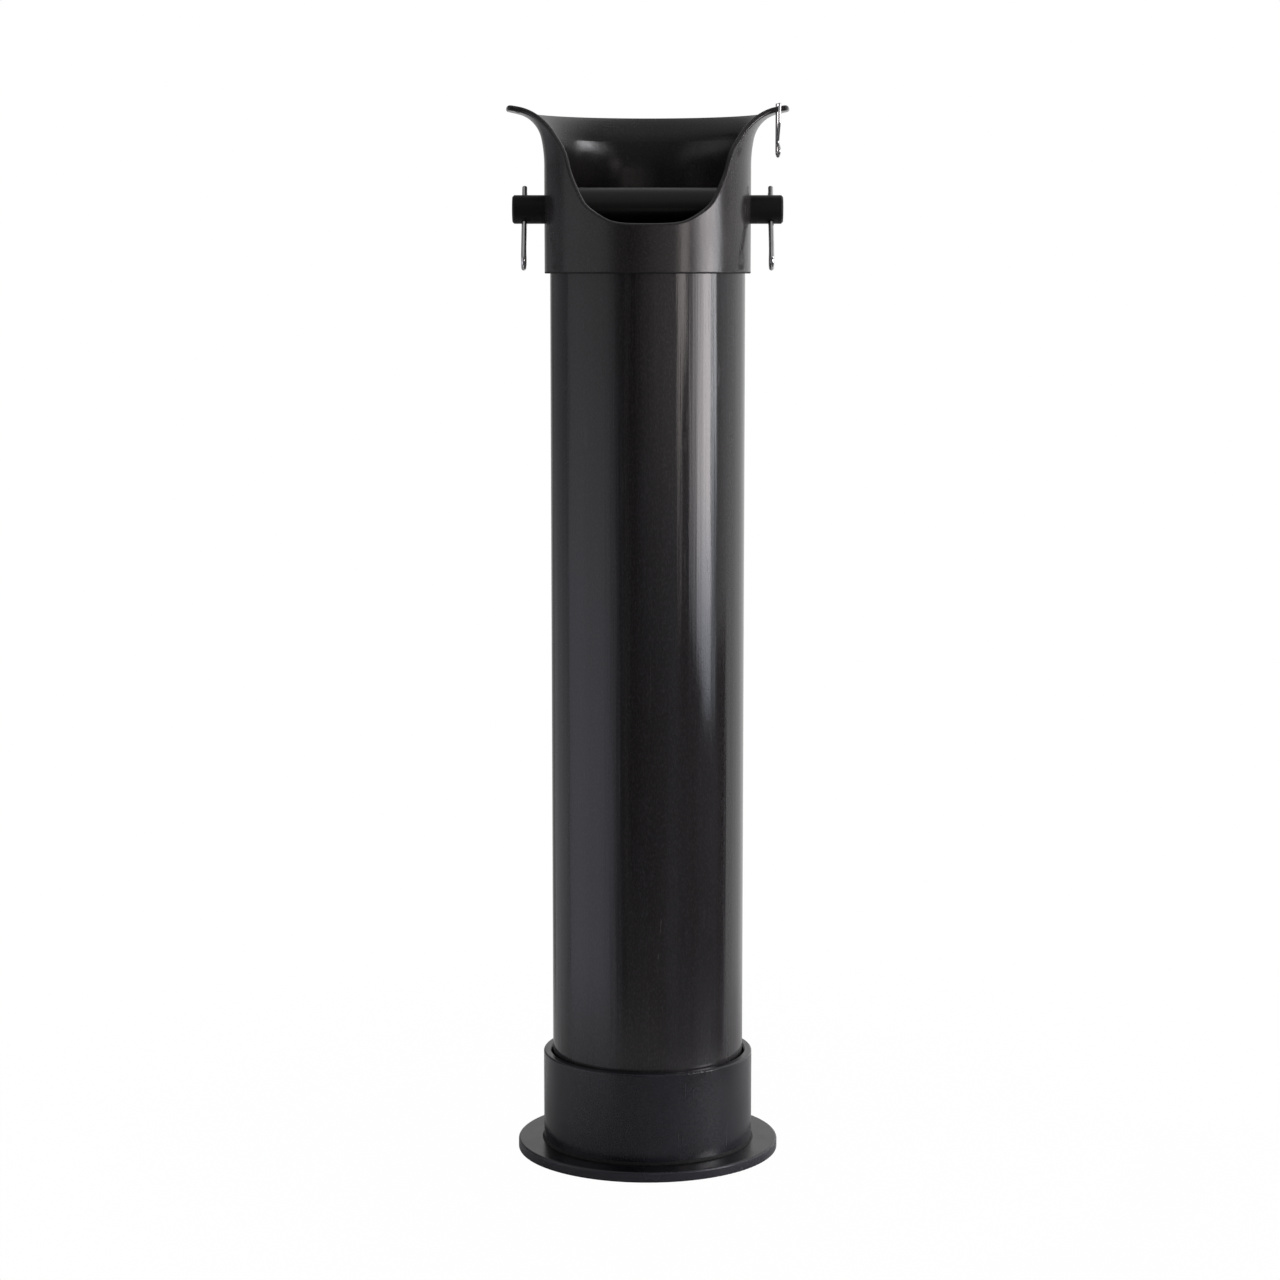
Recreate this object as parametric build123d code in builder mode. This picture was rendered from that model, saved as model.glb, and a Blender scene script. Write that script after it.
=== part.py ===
from build123d import *
from math import cos, radians, sin
import os

# Drop tube with a scoop mouth: a black pipe stands in a flanged foot and carries a
# flared scoop with a roller on a cross pin. Millimetres, +Z up, the mouth faces -Y,
# and the origin is the centre of the foot's underside.

# foot
plate_r, plate_t = 75.3, 6.0
collar_r, collar_bore_r, collar_top = 60.4, 55.8, 58.2
bead_w, bead_h = 1.0, 1.5

# pipe
pipe_r, pipe_wall = 55.0, 3.2
pipe_top = 526.4

# scoop: skirt over the pipe, then a straight throat, then the flare
skirt_bottom, skirt_bore_r = 505.6, 55.3
scoop_r, scoop_wall = 58.05, 3.0
ledge_bore_r, ledge_land = 52.0, 2.0
flare_z = 566.0
flare_r1, flare_a1 = 70.0, 12.0     # slow start of the flare
flare_r2, flare_a2 = 18.0, 76.0     # tight turn outwards
flare_r3, flare_a3 = 47.0, 84.0     # nearly level lip

# line of the mouth, seen from the side as (y, z) corners with their radii
mouth_line = [(-75, 532.7), (-55.6, 532.7), (-46.2, 543.4), (-38.6, 560.5),
              (-34.0, 574.5), (-20.5, 590.5), (-14.0, 597.5), (-6.0, 606.0)]
mouth_radii = [6.5, 24, 60, 30, 30, 40]
ear_cx, ear_cy, ear_corner_r = 71.9, -10.9, 7.0
ear_hole_x, ear_hole_y, ear_hole_r = 71.9, -13.0, 1.6
edge_soft = 1.2

# behind the ears the lip is cut back, in plan, to a smaller round
back_lip_r, back_blend_r = 68.4, 14.0
ear_back_line, ear_back_r = [(79.6, 1.1), (60.0, 28.0)], 14.0

# cross pin and roller
pin_r, pin_half, pin_z, pin_fit = 8.0, 76.0, 541.3, 0.08
pin_lean = 30.0                     # the clips' planes lean this far, feet to the front
roller_r, roller_half, roller_fit = 12.25, 52.0, 0.10
clip_x, clip_hole_r = 69.3, 1.65

# pin clips: straight leg through the pin, other leg round the back of it
clip_wire_r, clip_loop_r, clip_loop_u = 1.4, 4.3, -30.3
clip_leg_tip = 15.0

# small clip on the right ear
ear_wire_r, ear_loop_r, ear_loop_u = 0.85, 3.05, -22.6
ear_leg_tip, ear_clip_yaw = 3.4, 10.0

os.makedirs("parts", exist_ok=True)


# ---- base_plate: round foot plate with softened rims
with BuildPart() as base_plate:
    Cylinder(plate_r, plate_t, align=(Align.CENTER, Align.CENTER, Align.MIN))
    rims = base_plate.edges().filter_by(GeomType.CIRCLE).sort_by(Axis.Z)
    fillet(rims[-1], 1.2)
    fillet(base_plate.edges().filter_by(GeomType.CIRCLE).sort_by(Axis.Z)[0], 0.7)
base_plate.part.label = "base_plate"
export_step(base_plate.part, "parts/base_plate.step")


# ---- base_collar: short wide pipe bonded to the plate; the long pipe drops into it
with BuildPart() as base_collar:
    with BuildSketch(Plane.XY.offset(plate_t)):
        Circle(collar_r)
        Circle(collar_bore_r, mode=Mode.SUBTRACT)
    extrude(amount=collar_top - plate_t)
    top = base_collar.faces().sort_by(Axis.Z)[-1]
    fillet(top.edges().sort_by(SortBy.LENGTH)[-1], 1.0)
    chamfer(base_collar.faces().sort_by(Axis.Z)[-1].edges().sort_by(SortBy.LENGTH)[0], 0.8)
base_collar.part.label = "base_collar"
export_step(base_collar.part, "parts/base_collar.step")


# ---- glue_bead: ring of solvent cement squeezed out round the collar's foot
with BuildPart() as glue_bead:
    with BuildSketch(Plane.XZ):
        with BuildLine():
            foot = Line((collar_r, plate_t), (collar_r + bead_w, plate_t))
            Line((collar_r, plate_t), (collar_r, plate_t + bead_h))
            ThreePointArc(
                foot @ 1,
                (collar_r + 0.52 * bead_w, plate_t + 0.52 * bead_h),
                (collar_r, plate_t + bead_h),
            )
        make_face()
    revolve(axis=Axis.Z)
glue_bead.part.label = "glue_bead"
export_step(glue_bead.part, "parts/glue_bead.step")


# ---- main_pipe: plain pipe, open at both ends, standing on the plate
with BuildPart() as main_pipe:
    with BuildSketch(Plane.XY.offset(plate_t)):
        Circle(pipe_r)
        Circle(pipe_r - pipe_wall, mode=Mode.SUBTRACT)
    extrude(amount=pipe_top - plate_t)
    ends = main_pipe.edges().filter_by(GeomType.CIRCLE).sort_by(Axis.Z)
    chamfer([e for e in ends if e.radius > pipe_r - 1], 0.6)
main_pipe.part.label = "main_pipe"
export_step(main_pipe.part, "parts/main_pipe.step")


def flare_curve(shift, past=0.0):
    """The flare from its foot to the lip, moved inwards by shift, run on by past degrees."""
    slow = JernArc((scoop_r - shift, flare_z), (0, 1), flare_r1 + shift, -flare_a1)
    tight = JernArc(slow @ 1, slow % 1, flare_r2 + shift, flare_a1 - flare_a2)
    return JernArc(tight @ 1, tight % 1, flare_r3 + shift, flare_a2 - flare_a3 - past)


def ear_plane(side):
    """The middle of the wall at an ear's hole, facing square out of the lip's upper side."""
    reach = Vector(ear_hole_x, ear_hole_y, 0).length
    mid_r = flare_r2 + scoop_wall / 2
    turn_x = scoop_r + flare_r1 - (flare_r1 - flare_r2) * cos(radians(flare_a1))
    turn_z = flare_z + (flare_r1 - flare_r2) * sin(radians(flare_a1))
    slope = (turn_x - reach) / mid_r
    rise = (1 - slope**2) ** 0.5
    inward = Vector(-side * ear_hole_x, -ear_hole_y, 0).normalized()
    return Plane(origin=(side * ear_hole_x, ear_hole_y, turn_z + mid_r * rise),
                 z_dir=inward * slope + Vector(0, 0, rise))


# ---- mouth tools: the skin in front of the mouth line, thickened square to the wall
with BuildPart() as skin:
    with BuildSketch(Plane.XZ):
        with BuildLine():
            Line((scoop_r, skirt_bottom), (scoop_r, flare_z))
            lip = flare_curve(0, past=6)
            Polyline(lip @ 1, (0, (lip @ 1).Y), (0, skirt_bottom), (scoop_r, skirt_bottom))
        make_face()
    revolve(axis=Axis.Z)

with BuildPart() as mouth_side:
    with BuildSketch(Plane.YZ):
        with BuildLine():
            FilletPolyline(*mouth_line, radius=mouth_radii)
            Polyline(mouth_line[-1], (-140, mouth_line[-1][1]), (-140, mouth_line[0][1]),
                     mouth_line[0])
        make_face()
    extrude(amount=120, both=True)

with BuildPart() as corner_side:
    with BuildSketch(Plane.XY.offset(586)):
        with BuildLine():
            Polyline((ear_cx, ear_cy), (ear_cx - 6.9, ear_cy - 20.9), (95, ear_cy - 20.9),
                     (95, ear_cy * 95 / ear_cx), close=True)
        make_face()
        with Locations((ear_cx, ear_cy)):
            Circle(ear_corner_r, mode=Mode.SUBTRACT)
        mirror(about=Plane.YZ)
    extrude(amount=20)

front_of_mouth = mouth_side.part + corner_side.part
with BuildPart() as notch:
    for face in [f for f in skin.faces() if f.geom_type != GeomType.PLANE]:
        for front_piece in (face & front_of_mouth).faces():
            thicken(front_piece, amount=1.5)
            thicken(front_piece, amount=-(scoop_wall + 2.5))


# ---- back_trim: what is cut off the lip behind the ears
with BuildPart() as back_trim:
    with BuildSketch(Plane.XY.offset(584)):
        Circle(110)
        with BuildSketch(Plane.XY.offset(584), mode=Mode.SUBTRACT) as kept:
            Circle(back_lip_r)
            near, far = ear_back_line
            Polygon((-far[0], far[1]), (far[0], far[1]), near, (near[0], -120),
                    (-near[0], -120), (-near[0], near[1]), align=None)
            blends = [v for v in kept.vertices()
                      if v.Y > 5 and abs(Vector(v.X, v.Y, 0).length - back_lip_r) < 0.01]
            fillet(blends, back_blend_r)
            fillet([v for v in kept.vertices() if v.Y > 0 and abs(v.X) > near[0] - 0.01],
                   ear_back_r)
    extrude(amount=24)


# ---- scoop: skirt, throat and flare in one moulding
with BuildPart() as scoop:
    with BuildSketch(Plane.XZ):
        with BuildLine():
            Line((scoop_r, skirt_bottom), (scoop_r, flare_z))
            outer = flare_curve(0)
            inner = flare_curve(scoop_wall)
            Line(outer @ 1, inner @ 1)
            Polyline(
                (scoop_r - scoop_wall, flare_z),
                (scoop_r - scoop_wall, pipe_top + ledge_land + 3.0),
                (ledge_bore_r, pipe_top + ledge_land),
                (ledge_bore_r, pipe_top),
                (skirt_bore_r, pipe_top),
                (skirt_bore_r, skirt_bottom),
                (scoop_r, skirt_bottom),
            )
        make_face()
    revolve(axis=Axis.Z)
    add(notch.part, mode=Mode.SUBTRACT)
    add(back_trim.part, mode=Mode.SUBTRACT)
    # soften both sides of the mouth's edge and of the lip
    walls = [f for f in scoop.faces()
             if f.geom_type == GeomType.BSPLINE
             or (f.geom_type in (GeomType.CONE, GeomType.CYLINDER, GeomType.PLANE)
                 and f.center().Z > flare_z + 15)]
    wall_edges = [e for f in walls for e in f.edges()]
    fillet([e for e in wall_edges if wall_edges.count(e) == 1], edge_soft)
    # soften the skirt's end, outside and in
    skirt_end = scoop.faces().sort_by(Axis.Z)[0]
    chamfer(skirt_end.edges(), 0.4)
    # bearing holes for the cross pin
    with BuildSketch(Plane.YZ):
        with Locations((0, pin_z)):
            Circle(pin_r + pin_fit)
    extrude(amount=scoop_r + 2, both=True, mode=Mode.SUBTRACT)
    # one hole square through each ear
    for side in (-1, 1):
        with BuildSketch(ear_plane(side)):
            Circle(ear_hole_r)
        extrude(amount=5, both=True, mode=Mode.SUBTRACT)
scoop.part.label = "scoop"
export_step(scoop.part, "parts/scoop.step")


# ---- cross_pin: plain rod with a cross hole near each end
pin_axis = Plane(origin=(0, 0, pin_z), x_dir=(0, 1, 0), z_dir=(1, 0, 0))
lean = radians(pin_lean)
leg_dir = Vector(0, sin(lean), cos(lean))       # along a clip's straight leg, to its tip
back_dir = Vector(0, cos(lean), -sin(lean))     # from that leg to the wavy one
with BuildPart() as cross_pin:
    with BuildSketch(pin_axis):
        Circle(pin_r)
    extrude(amount=pin_half, both=True)
    chamfer(cross_pin.edges().filter_by(GeomType.CIRCLE), 1.0)
    for x in (-clip_x, clip_x):
        with BuildSketch(Plane(origin=(x, 0, pin_z), x_dir=(1, 0, 0), z_dir=leg_dir)):
            Circle(clip_hole_r)
        extrude(amount=pin_r + 2, both=True, mode=Mode.SUBTRACT)
cross_pin.part.label = "cross_pin"
export_step(cross_pin.part, "parts/cross_pin.step")


# ---- roller: loose sleeve on the pin, as long as the throat is wide
with BuildPart() as roller:
    with BuildSketch(pin_axis):
        Circle(roller_r)
        Circle(pin_r + roller_fit, mode=Mode.SUBTRACT)
    extrude(amount=roller_half, both=True)
    rims = roller.edges().filter_by(GeomType.CIRCLE)
    fillet([e for e in rims if e.radius > pin_r + 1], 0.8)
roller.part.label = "roller"
export_step(roller.part, "parts/roller.step")


def bent_wire(plane, wavy, radii, loop_r, loop_u, leg_tip, wire_r):
    """A spring clip of round wire, drawn in plane: x away from the straight leg, y to the
    tips. The wavy leg runs from its tip to the loop, and the loop back to the straight leg."""
    with BuildPart() as clip:
        with BuildLine(plane) as route:
            wave = FilletPolyline(*wavy, radius=radii)
            loop = JernArc(wave @ 1, wave % 1, loop_r, -240)
            Line(loop @ 1, (0, leg_tip))
        with BuildSketch(Plane(origin=wave @ 0, z_dir=wave % 0)):
            Circle(wire_r)
        sweep(path=route.wire())
        tips = clip.faces().filter_by(GeomType.PLANE)
        fillet(tips.edges(), wire_r * 0.6)
    return clip


def loop_exit(loop_r, loop_u, neck_x):
    """The neck corner at neck_x, and the point where the loop's 240 degree arc begins."""
    exit_x, exit_y = 1.5 * loop_r, loop_u + loop_r * sin(radians(60))
    run = (exit_x - neck_x) / cos(radians(30))
    return (neck_x, exit_y + run * sin(radians(30))), (exit_x, exit_y)


# ---- pin_clip_left, pin_clip_right: spring clips that keep the pin in
hug = pin_r + clip_wire_r + 0.25                # radius of the wavy leg's bow round the pin
bow_x = hug / cos(radians(55))
dip_y = (bow_x - 4.3) * cos(radians(55)) / sin(radians(55))
neck, loop_start = loop_exit(clip_loop_r, clip_loop_u, 2.85)
pin_wave = [(5.9, dip_y + 5.7), (4.3, dip_y), (bow_x, 0), (4.3, -dip_y), neck, loop_start]
for name, x in (("pin_clip_left", -clip_x), ("pin_clip_right", clip_x)):
    pin_clip = bent_wire(
        Plane(origin=(x, 0, pin_z), x_dir=back_dir, z_dir=(1, 0, 0)),
        pin_wave, [2.0, hug, 3.0, 3.2], clip_loop_r, clip_loop_u, clip_leg_tip, clip_wire_r)
    pin_clip.part.label = name
    export_step(pin_clip.part, "parts/" + name + ".step")


# ---- ear_clip: smaller clip, up through the right ear and over its front edge
yaw = radians(ear_clip_yaw)
neck, loop_start = loop_exit(ear_loop_r, ear_loop_u, 1.8)
ear_wave = [(6.8, 3.4), (6.2, -0.8), (6.2, -7.2), neck, loop_start]
ear_clip = bent_wire(
    Plane(origin=ear_plane(1).origin, x_dir=(sin(yaw), -cos(yaw), 0),
          z_dir=(-cos(yaw), -sin(yaw), 0)),
    ear_wave, [4.0, 2.5, 1.8], ear_loop_r, ear_loop_u, ear_leg_tip, ear_wire_r)
ear_clip.part.label = "ear_clip"
export_step(ear_clip.part, "parts/ear_clip.step")
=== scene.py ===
from math import cos, pi, radians, sin, tan

import bpy
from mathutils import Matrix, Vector


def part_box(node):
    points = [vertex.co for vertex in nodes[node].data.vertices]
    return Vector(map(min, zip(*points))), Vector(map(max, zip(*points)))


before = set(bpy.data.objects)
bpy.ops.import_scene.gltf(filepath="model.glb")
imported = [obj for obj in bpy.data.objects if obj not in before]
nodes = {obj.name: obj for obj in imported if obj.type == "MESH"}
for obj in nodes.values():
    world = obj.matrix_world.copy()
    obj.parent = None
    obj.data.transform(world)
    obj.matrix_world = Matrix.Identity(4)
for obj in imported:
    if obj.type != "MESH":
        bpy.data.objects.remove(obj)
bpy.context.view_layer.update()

# Drop tube feeder: looks, light and camera. Metres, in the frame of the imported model:
# +Z up, the low side of the scoop mouth faces -Y, and the origin is under the foot.

plate_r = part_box("base_plate")[1].x
skirt_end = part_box("scoop")[0].z


# ---------------------------------------------------------------- material helpers

# places of the colour sockets on the mix node
mix_a, mix_b, mix_result = 6, 7, 2
# how well a bevelled normal agrees with the face's own on a flat face and on a sharp edge
flat_match, edge_match = 0.995, 0.90
# how far a scratch is drawn out, and how far its patches are moved off it
hair_stretch, patch_shift = 0.015, (3, 1, 2)


class Graph:
    """A material's node tree, with one short call for each kind of node."""

    def __init__(self, name):
        self.material = bpy.data.materials.new(name)
        self.material.use_nodes = True
        self.tree = self.material.node_tree
        self.tree.nodes.clear()
        self.surface = self.node("ShaderNodeBsdfPrincipled")
        self.output = self.node("ShaderNodeOutputMaterial")
        self.link(self.surface.outputs["BSDF"], self.output.inputs["Surface"])
        self.place = self.node("ShaderNodeTexCoord").outputs["Object"]

    def node(self, kind, **settings):
        made = self.tree.nodes.new(kind)
        for key, value in settings.items():
            setattr(made, key, value)
        return made

    def link(self, source, socket):
        self.tree.links.new(source, socket)

    def feed(self, socket, value):
        """Links value to the socket if it is an output, or else sets it."""
        if isinstance(value, bpy.types.NodeSocket):
            self.link(value, socket)
        else:
            socket.default_value = value

    def stretch(self, scale, turn=(0, 0, 0), shift=(0, 0, 0)):
        """Object coordinates, scaled, turned and shifted."""
        made = self.node("ShaderNodeMapping")
        made.inputs["Scale"].default_value = scale
        made.inputs["Rotation"].default_value = turn
        made.inputs["Location"].default_value = shift
        self.link(self.place, made.inputs["Vector"])
        return made.outputs["Vector"]

    def noise(self, scale, detail=3.0, rough=0.5, vector=None, distortion=0.0):
        made = self.node("ShaderNodeTexNoise")
        made.inputs["Scale"].default_value = scale
        made.inputs["Detail"].default_value = detail
        made.inputs["Roughness"].default_value = rough
        made.inputs["Distortion"].default_value = distortion
        self.link(vector if vector else self.place, made.inputs["Vector"])
        return made.outputs["Fac"]

    def math(self, what, a, b=0.0):
        made = self.node("ShaderNodeMath", operation=what)
        self.feed(made.inputs[0], a)
        self.feed(made.inputs[1], b)
        return made.outputs["Value"]

    def remap(self, value, low, high, to_low, to_high):
        """value from low..high to to_low..to_high, clamped and smooth at both ends."""
        made = self.node("ShaderNodeMapRange", interpolation_type="SMOOTHSTEP")
        self.link(value, made.inputs["Value"])
        made.inputs["From Min"].default_value = low
        made.inputs["From Max"].default_value = high
        made.inputs["To Min"].default_value = to_low
        made.inputs["To Max"].default_value = to_high
        return made.outputs["Result"]

    def mix(self, share, a, b):
        """Colour a where share is 0 and b where it is 1."""
        made = self.node("ShaderNodeMix", data_type="RGBA")
        self.feed(made.inputs["Factor"], share)
        self.feed(made.inputs[mix_a], a)
        self.feed(made.inputs[mix_b], b)
        return made.outputs[mix_result]

    def axis(self, name):
        """One of the object coordinates, in metres."""
        made = self.node("ShaderNodeSeparateXYZ")
        self.link(self.place, made.inputs["Vector"])
        return made.outputs[name]

    def radius(self):
        """Distance from the Z axis, in metres."""
        flat = self.node("ShaderNodeVectorMath", operation="MULTIPLY")
        flat.inputs[1].default_value = (1, 1, 0)
        self.link(self.place, flat.inputs[0])
        made = self.node("ShaderNodeVectorMath", operation="LENGTH")
        self.link(flat.outputs["Vector"], made.inputs[0])
        return made.outputs["Value"]

    def edges(self, size):
        """1 on edges sharper than size, 0 on flat and smooth faces."""
        bevel = self.node("ShaderNodeBevel", samples=4)
        bevel.inputs["Radius"].default_value = size
        face = self.node("ShaderNodeNewGeometry")
        dot = self.node("ShaderNodeVectorMath", operation="DOT_PRODUCT")
        self.link(bevel.outputs["Normal"], dot.inputs[0])
        self.link(face.outputs["Normal"], dot.inputs[1])
        return self.remap(dot.outputs["Value"], flat_match, edge_match, 0.0, 1.0)

    def hairs(self, scale, turn, thin=0.010, cover=0.56):
        """Sparse straight scratches along the turned Z axis, broken into short stretches."""
        line = self.noise(scale, 0.0, 0.0, self.stretch((1, 1, hair_stretch), turn))
        near = self.math("ABSOLUTE", self.math("SUBTRACT", line, 0.5))
        thin_line = self.remap(near, 0.0, thin, 1.0, 0.0)
        patch = self.noise(scale * 0.5, 2.0, 0.5, self.stretch((1, 1, 1), turn, patch_shift))
        cut = self.remap(patch, cover, cover + 0.1, 0.0, 1.0)
        return self.math("MULTIPLY", thin_line, cut)

    def bump(self, height, depth, strength=1.0, below=None):
        """A bump of height, depth metres deep, over the bump below it."""
        made = self.node("ShaderNodeBump")
        made.inputs["Strength"].default_value = strength
        made.inputs["Distance"].default_value = depth
        self.link(height, made.inputs["Height"])
        if below:
            self.link(below, made.inputs["Normal"])
        return made.outputs["Normal"]

    def finish(self, colour, roughness, normal, metallic=0.0, ior=1.5):
        self.feed(self.surface.inputs["Base Color"], colour)
        self.feed(self.surface.inputs["Roughness"], roughness)
        self.link(normal, self.surface.inputs["Normal"])
        self.surface.inputs["Metallic"].default_value = metallic
        self.surface.inputs["IOR"].default_value = ior
        return self.material


def grey(value, red=0.0, blue=0.0):
    """A near-neutral colour, leaning to red or blue by that share."""
    return (value * (1 + red), value, value * (1 + blue), 1)


# ---------------------------------------------------------------- materials

# how wide a band the rubbed edges have, in metres: large mouldings, roller, pin
rub, roller_rub, pin_rub = 0.0012, 0.001, 0.0008
# the painted shade line at the skirt's end, standing in for the shadow of the gap round the
# pipe: full up to the first height above it, gone at the second
gap_shade_full, gap_shade_gone = 0.0006, 0.0012
# the plate's paler rim: how far in from the edge it starts and is full
rim_start, rim_full = 0.0010, 0.0003


def pipe_plastic():
    """Extruded glossy pipe: die lines and slow ripples along its length, light scuffs."""
    g = Graph("pipe_plastic")
    ripple = g.noise(38, 2.0, 0.5, g.stretch((1, 1, 0.10)))
    die_lines = g.noise(420, 2.0, 0.6, g.stretch((1, 1, 0.012)))
    grain = g.noise(850, 3.0, 0.7)
    cloud = g.noise(14, 4.0, 0.6, g.stretch((1, 1, 0.4)))
    marks = g.math("MAXIMUM", g.hairs(90, (0.25, 0.1, 0.4)), g.hairs(120, (1.45, 0.1, 0.2)))
    bands = g.noise(75, 1.0, 0.5, g.stretch((1, 1, 0.02)))
    speck = g.noise(1300, 3.0, 0.8, g.stretch((1, 1, 0.4)))
    colour = g.mix(g.remap(cloud, 0.35, 0.7, 0, 1),
                   grey(0.022, 0.07, 0.05), grey(0.029, 0.05, 0.12))
    colour = g.mix(g.remap(bands, 0.45, 0.62, 0, 0.6), colour, grey(0.018, 0.10, 0.02))
    colour = g.mix(g.remap(speck, 0.42, 0.72, 0, 0.45), colour, grey(0.055, 0.06, 0.04))
    colour = g.mix(g.math("MULTIPLY", marks, 0.30), colour, grey(0.06))
    rough = g.remap(die_lines, 0.3, 0.7, 0.055, 0.115)
    rough = g.math("ADD", rough, g.remap(cloud, 0.4, 0.75, 0.0, 0.05))
    rough = g.math("ADD", rough, g.math("MULTIPLY", marks, 0.2))
    normal = g.bump(ripple, 0.0016, 0.22)
    normal = g.bump(die_lines, 0.00020, 0.45, normal)
    normal = g.bump(grain, 0.00004, 0.55, normal)
    normal = g.bump(marks, -0.00002, 0.4, normal)
    return g.finish(colour, rough, normal)


def scoop_plastic():
    """Glossy moulding with flow marks, grained by handling, paler where its edges rub, with
    a painted shade line along the skirt's end for the shadow of the gap round the pipe."""
    g = Graph("scoop_plastic")
    flow = g.noise(30, 3.0, 0.5, g.stretch((1, 1, 0.35)), 0.8)
    streak = g.noise(160, 3.0, 0.6, g.stretch((1, 1, 0.06)))
    grain = g.noise(900, 4.0, 0.7)
    cloud = g.noise(22, 4.0, 0.6)
    # painted shade: the skirt's end darkened to stand in for the shadow in the gap round the
    # pipe
    painted_gap_shade = g.remap(g.axis("Z"), skirt_end + gap_shade_full, skirt_end + gap_shade_gone, 1.0, 0.0)
    marks = g.math("MAXIMUM", g.hairs(100, (0.9, 0.3, 0.1)), g.hairs(130, (0.1, 1.2, 0.5)))
    worn = g.math("MULTIPLY", g.edges(rub), g.remap(g.noise(420, 3.0), 0.45, 0.6, 0, 1))
    colour = g.mix(g.remap(cloud, 0.35, 0.7, 0, 1),
                   grey(0.021, 0.10, 0.02), grey(0.029, 0.12, 0.04))
    colour = g.mix(g.math("MULTIPLY", marks, 0.30), colour, grey(0.06))
    colour = g.mix(g.math("MULTIPLY", worn, 0.35), colour, grey(0.05))
    colour = g.mix(g.remap(grain, 0.42, 0.72, 0, 0.45), colour, grey(0.06, 0.06, 0.04))
    colour = g.mix(painted_gap_shade, colour, grey(0.002))
    rough = g.math("ADD", g.remap(streak, 0.3, 0.7, 0.14, 0.22), g.math("MULTIPLY", painted_gap_shade, 0.5))
    rough = g.math("ADD", rough, g.remap(cloud, 0.4, 0.7, 0.0, 0.06))
    rough = g.math("ADD", rough, g.math("MULTIPLY", marks, 0.15))
    normal = g.bump(flow, 0.0016, 0.12)
    normal = g.bump(streak, 0.0001, 0.25, normal)
    normal = g.bump(grain, 0.00006, 0.60, normal)
    normal = g.bump(marks, -0.00003, 0.4, normal)
    return g.finish(colour, rough, normal)


def foot_plastic(name, along, shine, dark, pale):
    """Satin foot plastic, mottled from dark to pale, with a paler rim where it reaches the
    plate's edge. along draws out its faint flow marks; shine is its lowest roughness."""
    g = Graph(name)
    streak = g.noise(90, 3.0, 0.5, g.stretch(along))
    grain = g.noise(1000, 4.0, 0.7)
    cloud = g.noise(26, 4.0, 0.6)
    marks = g.math("MAXIMUM", g.hairs(90, (0.2, 1.5, 0.3), 0.006, 0.6),
                   g.hairs(110, (1.5, 0.1, 1.1), 0.006, 0.6))
    worn = g.math("MULTIPLY", g.edges(rub), g.remap(g.noise(260, 3.0), 0.4, 0.6, 0, 1))
    colour = g.mix(g.remap(cloud, 0.35, 0.7, 0, 1),
                   grey(dark, 0.02, 0.5), grey(pale, 0.02, 0.5))
    colour = g.mix(g.math("MULTIPLY", marks, 0.06), colour, grey(0.06))
    colour = g.mix(g.remap(grain, 0.45, 0.75, 0, 0.35), colour, grey(0.045, 0.0, 0.2))
    rim = g.remap(g.radius(), plate_r - rim_start, plate_r - rim_full, 0, 0.8)
    colour = g.mix(rim, colour, grey(0.026, 0.0, 0.4))
    colour = g.mix(g.math("MULTIPLY", worn, 0.3), colour, grey(0.05))
    rough = g.math("ADD", g.remap(streak, 0.3, 0.7, shine, shine + 0.08),
                   g.remap(cloud, 0.4, 0.7, 0.0, 0.05))
    rough = g.math("ADD", rough, g.math("MULTIPLY", marks, 0.10))
    normal = g.bump(streak, 0.0002, 0.05)
    normal = g.bump(grain, 0.00007, 0.60, normal)
    normal = g.bump(marks, -0.00002, 0.08, normal)
    return g.finish(colour, rough, normal)


def cement():
    """Dark solvent cement, dried dull and a little lumpy."""
    g = Graph("cement")
    lump = g.noise(190, 3.0, 0.5)
    fine = g.noise(900, 2.0, 0.5)
    colour = g.mix(g.remap(lump, 0.4, 0.65, 0, 1), grey(0.0015), grey(0.003))
    rough = g.remap(fine, 0.35, 0.7, 0.5, 0.7)
    normal = g.bump(lump, 0.0009, 0.6)
    normal = g.bump(fine, 0.0001, 0.4, normal)
    return g.finish(colour, rough, normal, ior=1.35)


def pin_plastic():
    """Matt black turned rod: fine rings round it, rubbed a little at its ends."""
    g = Graph("pin_plastic")
    rings = g.noise(1500, 2.0, 0.6, g.stretch((1, 0.01, 0.01)))
    grain = g.noise(1900, 3.0, 0.6)
    cloud = g.noise(60, 4.0, 0.6)
    worn = g.edges(pin_rub)
    colour = g.mix(g.remap(cloud, 0.35, 0.7, 0, 1), grey(0.0050), grey(0.0085))
    colour = g.mix(g.math("MULTIPLY", worn, 0.35), colour, grey(0.03))
    rough = g.math("ADD", g.remap(rings, 0.3, 0.7, 0.42, 0.55),
                   g.remap(cloud, 0.4, 0.7, 0, 0.12))
    normal = g.bump(rings, 0.00006, 0.5)
    normal = g.bump(grain, 0.00005, 0.5, normal)
    return g.finish(colour, rough, normal, ior=1.4)


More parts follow.
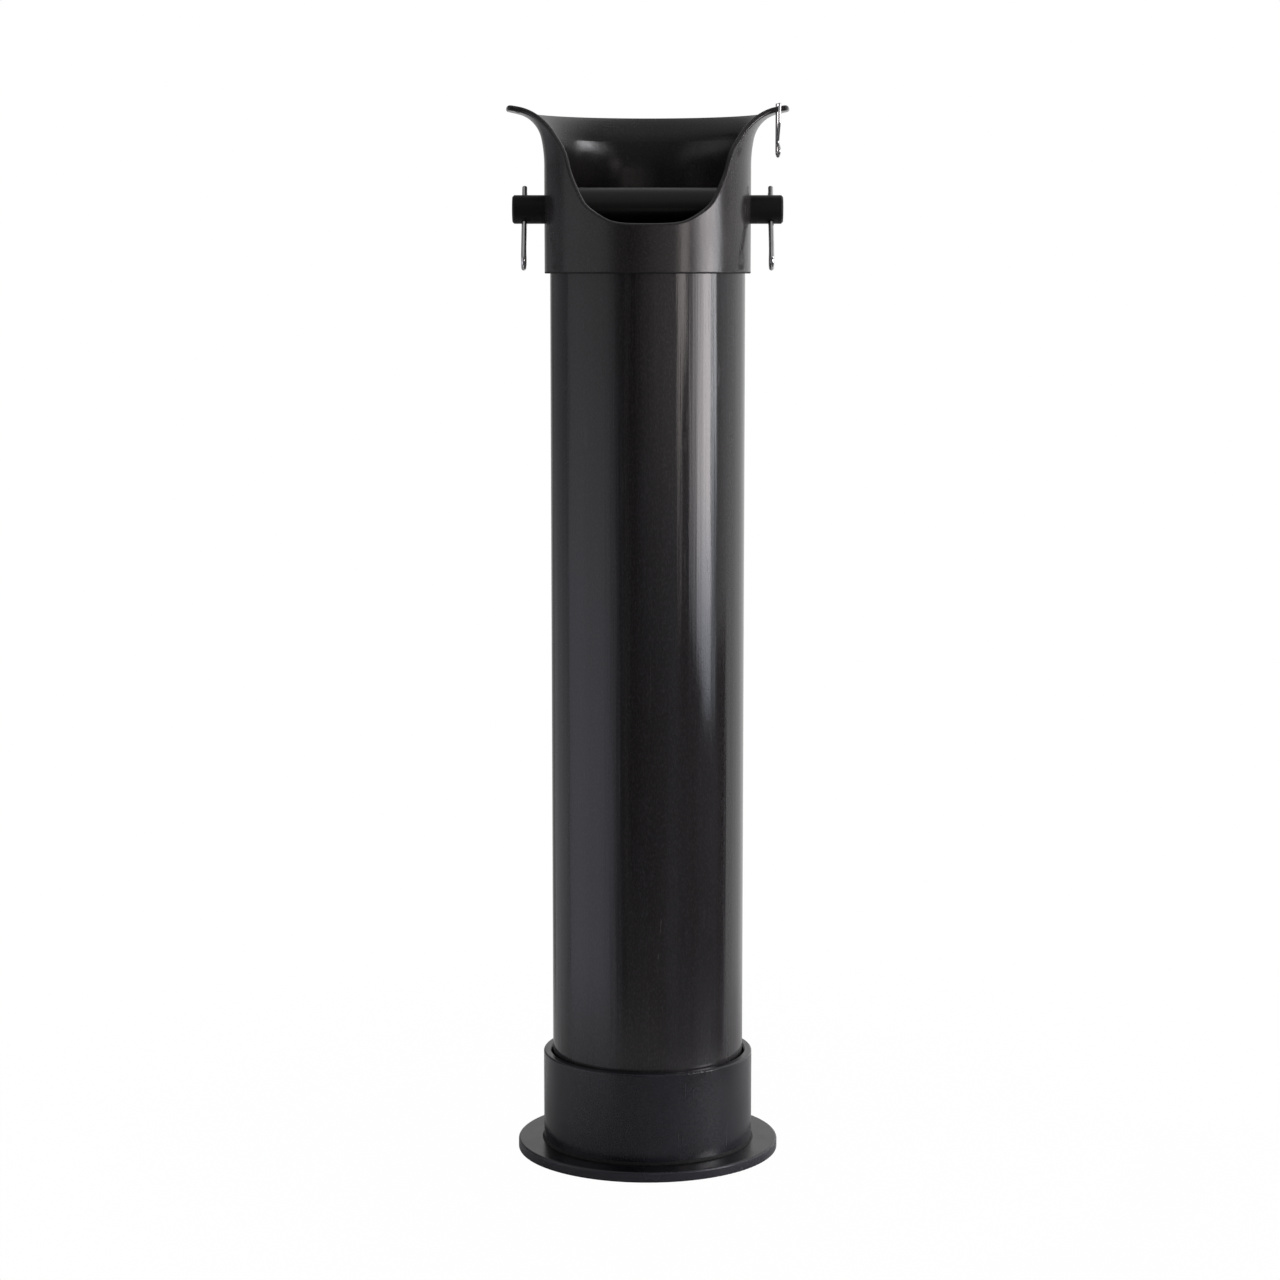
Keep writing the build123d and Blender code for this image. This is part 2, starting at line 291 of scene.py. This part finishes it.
def roller_plastic():
    """Satin sleeve cut from pipe: lengthwise lines, ring scuffs where things roll over it."""
    g = Graph("roller_plastic")
    lines = g.noise(700, 2.0, 0.6, g.stretch((0.01, 1, 1)))
    scuff = g.noise(420, 3.0, 0.6, g.stretch((1, 0.05, 0.05)))
    grain = g.noise(1900, 2.0, 0.6)
    cloud = g.noise(50, 4.0, 0.6)
    scuffs = g.remap(scuff, 0.52, 0.72, 0, 1)
    colour = g.mix(scuffs, grey(0.004, 0.08), grey(0.010, 0.10))
    colour = g.mix(g.math("MULTIPLY", g.edges(roller_rub), 0.4), colour, grey(0.05))
    rough = g.math("ADD", g.remap(lines, 0.3, 0.7, 0.26, 0.36),
                   g.math("MULTIPLY", scuffs, 0.12))
    rough = g.math("ADD", rough, g.remap(cloud, 0.4, 0.7, 0.0, 0.06))
    normal = g.bump(lines, 0.00012, 0.4)
    normal = g.bump(scuff, 0.00006, 0.4, normal)
    normal = g.bump(grain, 0.00004, 0.4, normal)
    return g.finish(colour, rough, normal)


def clip_steel(name, dull):
    """Bright plated spring wire: faint drawn lines, handling haze, and a few flecks that
    are duller by the share dull."""
    g = Graph(name)
    drawn = g.noise(2000, 2.0, 0.6, g.stretch((1, 1, 0.05)))
    haze = g.noise(160, 4.0, 0.6)
    fleck = g.remap(g.noise(700, 3.0, 0.6), 0.68, 0.76, 0, 1)
    colour = g.mix(g.remap(haze, 0.35, 0.7, 0, 1), grey(0.80, 0.0, 0.01), grey(0.68, 0.01))
    colour = g.mix(g.math("MULTIPLY", fleck, dull), colour, grey(0.25, 0.05))
    rough = g.math("ADD", g.remap(haze, 0.35, 0.7, 0.07, 0.15), g.math("MULTIPLY", fleck, 0.2))
    normal = g.bump(drawn, 0.00001, 0.3)
    normal = g.bump(haze, 0.00004, 0.2, normal)
    return g.finish(colour, rough, normal, metallic=1.0)


def dress(material, *names):
    """Gives CAD nodes one material."""
    for name in names:
        mesh = nodes[name].data
        mesh.materials.clear()
        mesh.materials.append(material)


dress(pipe_plastic(), "main_pipe")
dress(scoop_plastic(), "scoop")
dress(foot_plastic("collar_plastic", (1, 1, 0.2), 0.14, 0.009, 0.014), "base_collar")
dress(foot_plastic("plate_plastic", (1, 0.5, 1), 0.18, 0.002, 0.004), "base_plate")
dress(cement(), "glue_bead")
dress(pin_plastic(), "cross_pin")
dress(roller_plastic(), "roller")
dress(clip_steel("clip_steel", 0.4), "pin_clip_left", "pin_clip_right")
dress(clip_steel("ear_clip_steel", 0.1), "ear_clip")


# ---------------------------------------------------------------- floor and light

# how far the glowing panels stand from the axis: windows, and the room round them
window_distance, room_distance = 1.5, 1.6
# the direction of the bright studio wall, and the glow of wall, room and ceiling
wall_azimuth, wall_glow = 140, 1.05
room_glow, ceiling_glow = 0.13, 0.30
# the floor's radius, the shares of it where it starts to fade and is gone, and how far it
# is lifted to white for the camera
floor_r, fade_start, fade_end, floor_lift = 0.6, 0.3, 0.95, 0.99
# the floor's greys in the middle, painted lighter out to both sides, and painted shade in the
# corner at front right, for what the object reflects
floor_grey, side_light_grey, corner_shade_grey = 0.6, 0.9, 0.05


def direction(azimuth):
    """Unit vector on the floor plane: 0 is towards the camera, 90 to the right of the view."""
    a = radians(azimuth)
    return Vector((sin(a), -cos(a), 0))


def glow_panel(name, outline, glow, tint, distance, soft,
               foot_glow=None, foot_tint=None, turn=(0.0, 0.5)):
    """A flat upright glowing panel that faces the axis, unseen by the camera. outline is its
    corners as (azimuth, height). soft is how far its glow fades in from the side of low
    azimuth, the side of high azimuth and the top; it stays solid there and hides what is
    behind it. foot_glow and foot_tint are its glow and colour low down, where they differ;
    turn is the heights between which they change."""
    azimuths = [corner[0] for corner in outline]
    heights = [corner[1] for corner in outline]
    middle = (min(azimuths) + max(azimuths)) / 2
    across = direction(middle + 90)
    reach = [distance * tan(radians(azimuth - middle)) for azimuth in azimuths]
    points = [direction(middle) * distance + across * side + Vector((0, 0, height))
              for side, height in zip(reach, heights)]
    mesh = bpy.data.meshes.new(name)
    mesh.from_pydata([tuple(p) for p in points], [], [tuple(range(len(points)))])
    panel = bpy.data.objects.new(name, mesh)
    bpy.context.scene.collection.objects.link(panel)
    g = Graph(name)
    emit = g.node("ShaderNodeEmission")
    if foot_tint:
        g.link(g.mix(g.remap(g.axis("Z"), *turn, 0, 1), (*foot_tint, 1), (*tint, 1)),
               emit.inputs["Color"])
    else:
        emit.inputs["Color"].default_value = (*tint, 1)
    along = g.node("ShaderNodeVectorMath", operation="DOT_PRODUCT")
    along.inputs[1].default_value = across
    g.link(g.place, along.inputs[0])
    side = along.outputs["Value"]
    strength = g.remap(g.axis("Z"), *turn, foot_glow or glow, glow)
    strength = g.math("MULTIPLY", strength,
                      g.remap(side, min(reach), min(reach) + soft[0], 0, 1))
    strength = g.math("MULTIPLY", strength,
                      g.remap(side, max(reach) - soft[1], max(reach), 1, 0))
    strength = g.math("MULTIPLY", strength,
                      g.remap(g.axis("Z"), max(heights) - soft[2], max(heights), 1, 0))
    g.link(strength, emit.inputs["Strength"])
    g.link(emit.outputs["Emission"], g.output.inputs["Surface"])
    mesh.materials.append(g.material)
    panel.visible_camera = False


def world_light():
    """A white studio wall behind the object and to its right, a dim room elsewhere and a
    soft ceiling. The background that the camera sees is plain white."""
    world = bpy.data.worlds.new("studio")
    bpy.context.scene.world = world
    world.use_nodes = True
    tree = world.node_tree
    tree.nodes.clear()

    def slope(along, start, end, to_start, to_end):
        """Light that grows as the direction turns towards a vector."""
        place = tree.nodes.new("ShaderNodeTexCoord")
        dot = tree.nodes.new("ShaderNodeVectorMath")
        dot.operation = "DOT_PRODUCT"
        dot.inputs[1].default_value = along
        tree.links.new(place.outputs["Generated"], dot.inputs[0])
        ramp = tree.nodes.new("ShaderNodeMapRange")
        ramp.interpolation_type = "SMOOTHSTEP"
        for socket, value in (("From Min", start), ("From Max", end),
                              ("To Min", to_start), ("To Max", to_end)):
            ramp.inputs[socket].default_value = value
        tree.links.new(dot.outputs["Value"], ramp.inputs["Value"])
        return ramp.outputs["Result"]

    total = tree.nodes.new("ShaderNodeMath")
    total.operation = "ADD"
    walls = slope(direction(wall_azimuth), 0.25, 1.05, room_glow, wall_glow)
    tree.links.new(walls, total.inputs[0])
    tree.links.new(slope((0, 0, 1), 0.3, 0.9, 0.0, ceiling_glow), total.inputs[1])
    lit = tree.nodes.new("ShaderNodeBackground")
    tree.links.new(total.outputs["Value"], lit.inputs["Strength"])
    seen = tree.nodes.new("ShaderNodeBackground")
    seen.inputs["Color"].default_value = (1, 1, 1, 1)
    path = tree.nodes.new("ShaderNodeLightPath")
    choose = tree.nodes.new("ShaderNodeMixShader")
    output = tree.nodes.new("ShaderNodeOutputWorld")
    tree.links.new(path.outputs["Is Camera Ray"], choose.inputs["Fac"])
    tree.links.new(lit.outputs["Background"], choose.inputs[1])
    tree.links.new(seen.outputs["Background"], choose.inputs[2])
    tree.links.new(choose.outputs["Shader"], output.inputs["Surface"])


def pale_floor():
    """A round pale floor that fades into the white round it. Its colour is painted lighter out
    to both sides and painted with shade at the front right, which the object reflects; the
    camera sees it white."""
    rings, steps = 24, 96
    points = [(0, 0, 0)]
    for ring in range(1, rings + 1):
        reach = floor_r * ring / rings
        points += [(reach * cos(2 * pi * s / steps), reach * sin(2 * pi * s / steps), 0)
                   for s in range(steps)]
    faces = [(0, 1 + s, 1 + (s + 1) % steps) for s in range(steps)]
    for ring in range(rings - 1):
        inner, outer = 1 + ring * steps, 1 + (ring + 1) * steps
        faces += [(inner + s, outer + s, outer + (s + 1) % steps, inner + (s + 1) % steps)
                  for s in range(steps)]
    mesh = bpy.data.meshes.new("floor")
    mesh.from_pydata(points, [], faces)
    floor = bpy.data.objects.new("floor", mesh)
    bpy.context.scene.collection.objects.link(floor)
    g = Graph("floor")
    # painted shade: the floor darkened at front right, dimming the object's reflection there
    corner = g.math("MULTIPLY", g.remap(g.axis("X"), 0.03, 0.16, 0, 1),
                    g.remap(g.axis("Y"), 0.0, 0.08, 1, 0))
    corner = g.math("MULTIPLY", corner, g.remap(g.radius(), 0.25, 0.31, 0, 1))
    # painted light: the floor paler out to both sides
    sides = g.remap(g.math("ABSOLUTE", g.axis("X")), 0.02, 0.20, 0, 1)
    colour = g.mix(sides, grey(floor_grey), grey(side_light_grey))
    colour = g.mix(corner, colour, grey(corner_shade_grey))
    g.finish(colour, 0.6, g.bump(g.noise(60, 3.0), 0.0002, 0.1))
    clear = g.node("ShaderNodeBsdfTransparent")
    glow = g.node("ShaderNodeEmission")
    glow.inputs["Strength"].default_value = 1.0
    path = g.node("ShaderNodeLightPath")
    lift = g.node("ShaderNodeMixShader")
    fade = g.node("ShaderNodeMixShader")
    g.feed(lift.inputs["Fac"], g.math("MULTIPLY", path.outputs["Is Camera Ray"], floor_lift))
    g.link(g.surface.outputs["BSDF"], lift.inputs[1])
    g.link(glow.outputs["Emission"], lift.inputs[2])
    g.feed(fade.inputs["Fac"],
           g.remap(g.radius(), floor_r * fade_start, floor_r * fade_end, 0, 1))
    g.link(lift.outputs["Shader"], fade.inputs[1])
    g.link(clear.outputs["BSDF"], fade.inputs[2])
    g.link(fade.outputs["Shader"], g.output.inputs["Surface"])
    mesh.materials.append(g.material)


world_light()
pale_floor()

# a narrow strip of light and a wide window beside it, to the right of the camera, with a
# cooler pane at the window's edge and a high pane that only the scoop's bowl mirrors
glow_panel("strip_light", [(35.5, 0.16), (38.5, 0.16), (39.6, 0.37), (45.9, 0.45),
                           (45.9, 0.85), (35.5, 0.85)],
           4.4, (1, 0.91, 0.90), window_distance, (0.02, 0.03, 0.22),
           foot_glow=1.0, turn=(0.15, 0.62))
glow_panel("window_light", [(44, 0.20), (57.5, 0.13), (78.8, 0.03),
                            (78.8, 0.78), (44, 0.78)],
           9.8, (1.0, 0.95, 0.97), window_distance, (0.85, 0.01, 0.06),
           foot_glow=3.0, foot_tint=(0.82, 0.88, 1.0), turn=(0.04, 0.32))
glow_panel("window_edge", [(80.0, 0.05), (87.0, 0.05), (87.0, 0.78), (80.0, 0.78)],
           9.5, (0.97, 0.97, 1.0), window_distance, (0.01, 0.07, 0.06),
           foot_glow=1.6, foot_tint=(0.82, 0.90, 1.0), turn=(0.10, 0.60))
glow_panel("high_light", [(38, 1.075), (98, 1.075), (98, 1.135), (38, 1.095)],
           27.0, (0.97, 0.97, 1.0), window_distance, (1.3, 0.3, 0.02))

# the room: dark under the window, faint behind the camera, brighter to the left, and dimmer
# again at the left edge
glow_panel("dark_corner", [(38, -0.6), (106, -0.6), (106, 0.10), (38, 0.10)],
           0.03, (1.0, 0.97, 1.0), room_distance, (0.1, 0.3, 0.15))
glow_panel("room_light", [(-22, -0.2), (35.4, -0.2), (35.4, 0.8), (-22, 0.8)],
           0.50, (1.0, 0.93, 0.90), room_distance, (1.5, 0.02, 0.2),
           foot_glow=0.10, foot_tint=(0.85, 0.9, 1.0), turn=(0.0, 0.5))
glow_panel("fill_light", [(-135, -0.6), (-28, -0.6), (-28, 1.6), (-135, 1.6)],
           0.55, (0.98, 0.97, 1.0), room_distance, (2.4, 1.5, 0.5),
           foot_glow=1.0, foot_tint=(0.88, 0.86, 1.0), turn=(-0.1, 0.55))
glow_panel("limb_light", [(-150, -0.6), (-108, -0.6), (-108, 0.8), (-150, 0.8)],
           0.19, (0.95, 0.95, 1.0), room_distance, (0.1, 0.06, 0.3),
           foot_glow=0.45, turn=(-0.2, 0.45))


# ---------------------------------------------------------------- camera

# metres in front of the axis and up, and degrees below level; lens and sensor in mm
camera_back, camera_up, camera_dip = 1.707, 0.5064, 7.41
lens, sensor = 84.46, 36

camera = bpy.data.objects.new("camera", bpy.data.cameras.new("camera"))
bpy.context.scene.collection.objects.link(camera)
camera.location = (0, -camera_back, camera_up)
camera.rotation_euler = (radians(90 - camera_dip), 0, 0)
camera.data.sensor_width = sensor
camera.data.lens = lens
camera.data.shift_x = -0.006
camera.data.shift_y = 0.0177
camera.data.clip_start = 0.05
bpy.context.scene.camera = camera
bpy.context.scene.view_settings.view_transform = "Standard"
